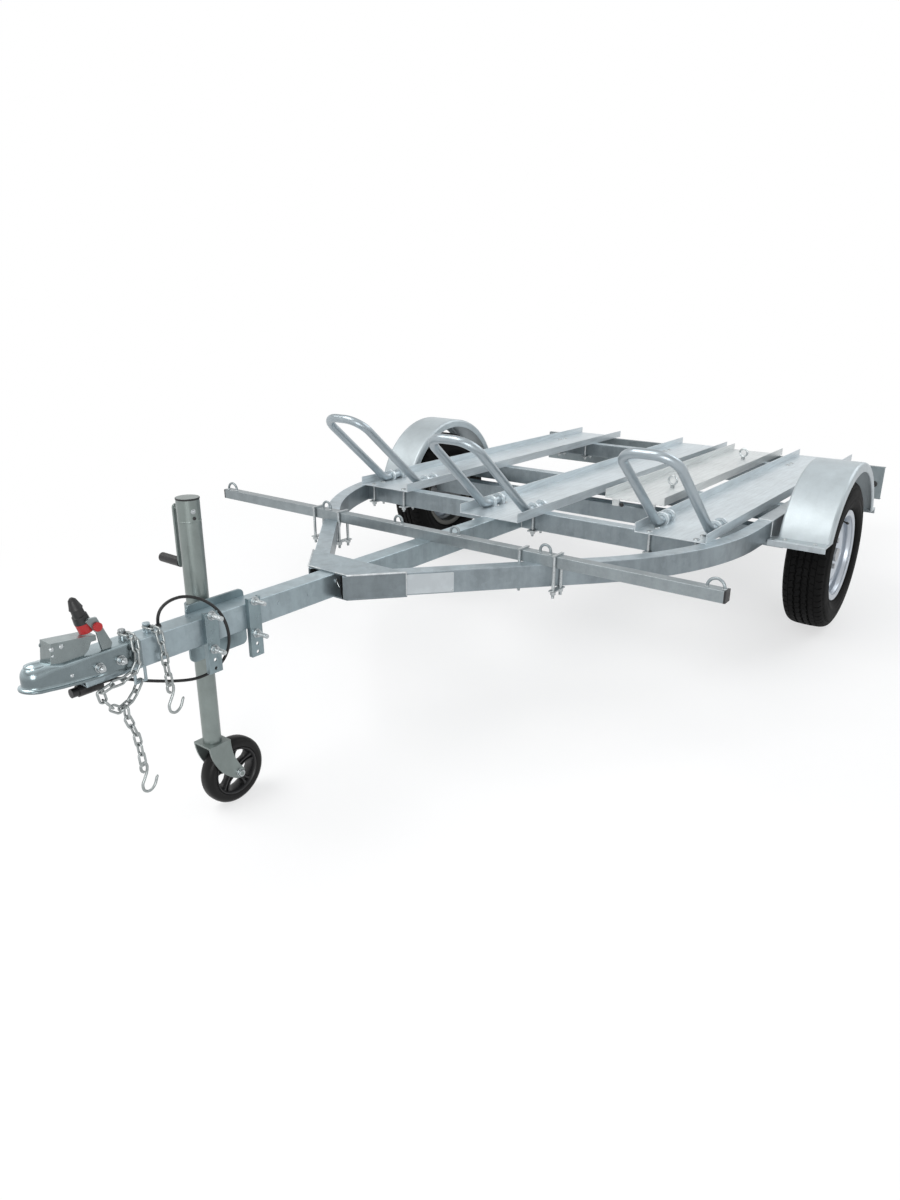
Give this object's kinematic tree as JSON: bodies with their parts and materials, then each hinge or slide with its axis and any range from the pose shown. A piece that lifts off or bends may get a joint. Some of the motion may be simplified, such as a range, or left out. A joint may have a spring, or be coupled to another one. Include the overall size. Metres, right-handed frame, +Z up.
{
  "type": "motorcycle cargo trailer",
  "caption": "Galvanised single-axle trailer with three wheel channels, leaning wheel hoops, a stowed ramp, a tie-down bar, a ball coupler and a jockey wheel.",
  "frame": {"origin": "on the ground, under the middle of the trailer's outline as it stands on its road wheels and its jockey wheel", "axes": "+X to the trailer's left, +Y to its rear, +Z up"},
  "size_m": [2.138, 3.909, 0.9252],
  "materials": {
    "arm_steel": "dull zinc coat",
    "black_plastic": "black moulded plastic",
    "bright_zinc": "bright galvanised sheet",
    "cable_jacket": "black flexible jacket",
    "coupler_zinc": "bright zinc pressing",
    "fender_zinc": "smooth zinc coat",
    "galvanised_steel": "hot dip galvanised",
    "hub_steel": "machined hub",
    "jockey_rubber": "matt black solid rubber",
    "lamp_lens": "red lamp lens",
    "plated_steel": "zinc plated",
    "red_plastic": "red moulded plastic",
    "road_tyre": "matt black road tyre",
    "wheel_silver": "silver paint"
  },
  "bodies": {
    "chassis": {"axle_beam": "galvanised_steel", "cable": "cable_jacket", "cable_gland": "black_plastic", "channel_bolts": "plated_steel", "channel_left": "bright_zinc", "channel_middle": "bright_zinc", "channel_right": "bright_zinc", "coupler_arm": "coupler_zinc", "coupler_body": "coupler_zinc", "coupler_grip": "black_plastic", "coupler_lever": "coupler_zinc", "coupler_release": "red_plastic", "drawbar": "galvanised_steel", "fender_brackets_left": "galvanised_steel", "fender_brackets_right": "galvanised_steel", "fender_left": "fender_zinc", "fender_right": "fender_zinc", "front_crossbeam": "galvanised_steel", "hoop_left": "bright_zinc", "hoop_middle": "bright_zinc", "hoop_right": "bright_zinc", "jockey_clamp": "galvanised_steel", "jockey_clamp_bolts": "plated_steel", "jockey_crank": "plated_steel", "jockey_grip": "black_plastic", "jockey_outer_tube": "galvanised_steel", "jockey_straps": "plated_steel", "lamp_board": "galvanised_steel", "middle_crossbeam": "galvanised_steel", "plug": "black_plastic", "ramp": "bright_zinc", "ramp_eye_bolts": "plated_steel", "rear_crossbeam": "galvanised_steel", "safety_chains": "plated_steel", "side_member_left": "galvanised_steel", "side_member_right": "galvanised_steel", "side_rail_left": "galvanised_steel", "side_rail_right": "galvanised_steel", "tail_lamp_left": "lamp_lens", "tail_lamp_right": "lamp_lens", "tie_bar": "galvanised_steel", "tie_bar_caps": "black_plastic", "tie_bar_u_bolts": "plated_steel", "torsion_arm_left": "arm_steel", "torsion_arm_right": "arm_steel", "y_plate_bottom": "galvanised_steel", "y_plate_top": "galvanised_steel"},
    "wheel_left": {"hub_left": "hub_steel", "rim_left": "wheel_silver", "tyre_left": "road_tyre"},
    "wheel_right": {"hub_right": "hub_steel", "rim_right": "wheel_silver", "tyre_right": "road_tyre"},
    "jockey_leg": {"jockey_inner_tube": "galvanised_steel"},
    "jockey_fork_body": {"jockey_fork": "galvanised_steel"},
    "jockey_roller": {"jockey_rim": "black_plastic", "jockey_tyre": "jockey_rubber"}
  },
  "joints": [
    {"name": "wheel_left_spin", "type": "hinge", "parent": "chassis", "child": "wheel_left", "pos_m": [0.976, 0.762, 0.297], "axis": [1, 0, 0], "continuous": true},
    {"name": "wheel_right_spin", "type": "hinge", "parent": "chassis", "child": "wheel_right", "pos_m": [-0.976, 0.762, 0.297], "axis": [1, 0, 0], "continuous": true},
    {"name": "jockey_height", "type": "slide", "parent": "chassis", "child": "jockey_leg", "axis": [0, 0.0722, 0.9974], "range_m": [-0.09, 0.2]},
    {"name": "jockey_swivel", "type": "hinge", "parent": "jockey_leg", "child": "jockey_fork_body", "pos_m": [-0.08, -1.45521, 0.22188], "axis": [0, 0.0722, 0.9974], "continuous": true},
    {"name": "jockey_spin", "type": "hinge", "parent": "jockey_fork_body", "child": "jockey_roller", "pos_m": [-0.08, -1.40588, 0.1], "axis": [1, 0, 0], "continuous": true}
  ]
}
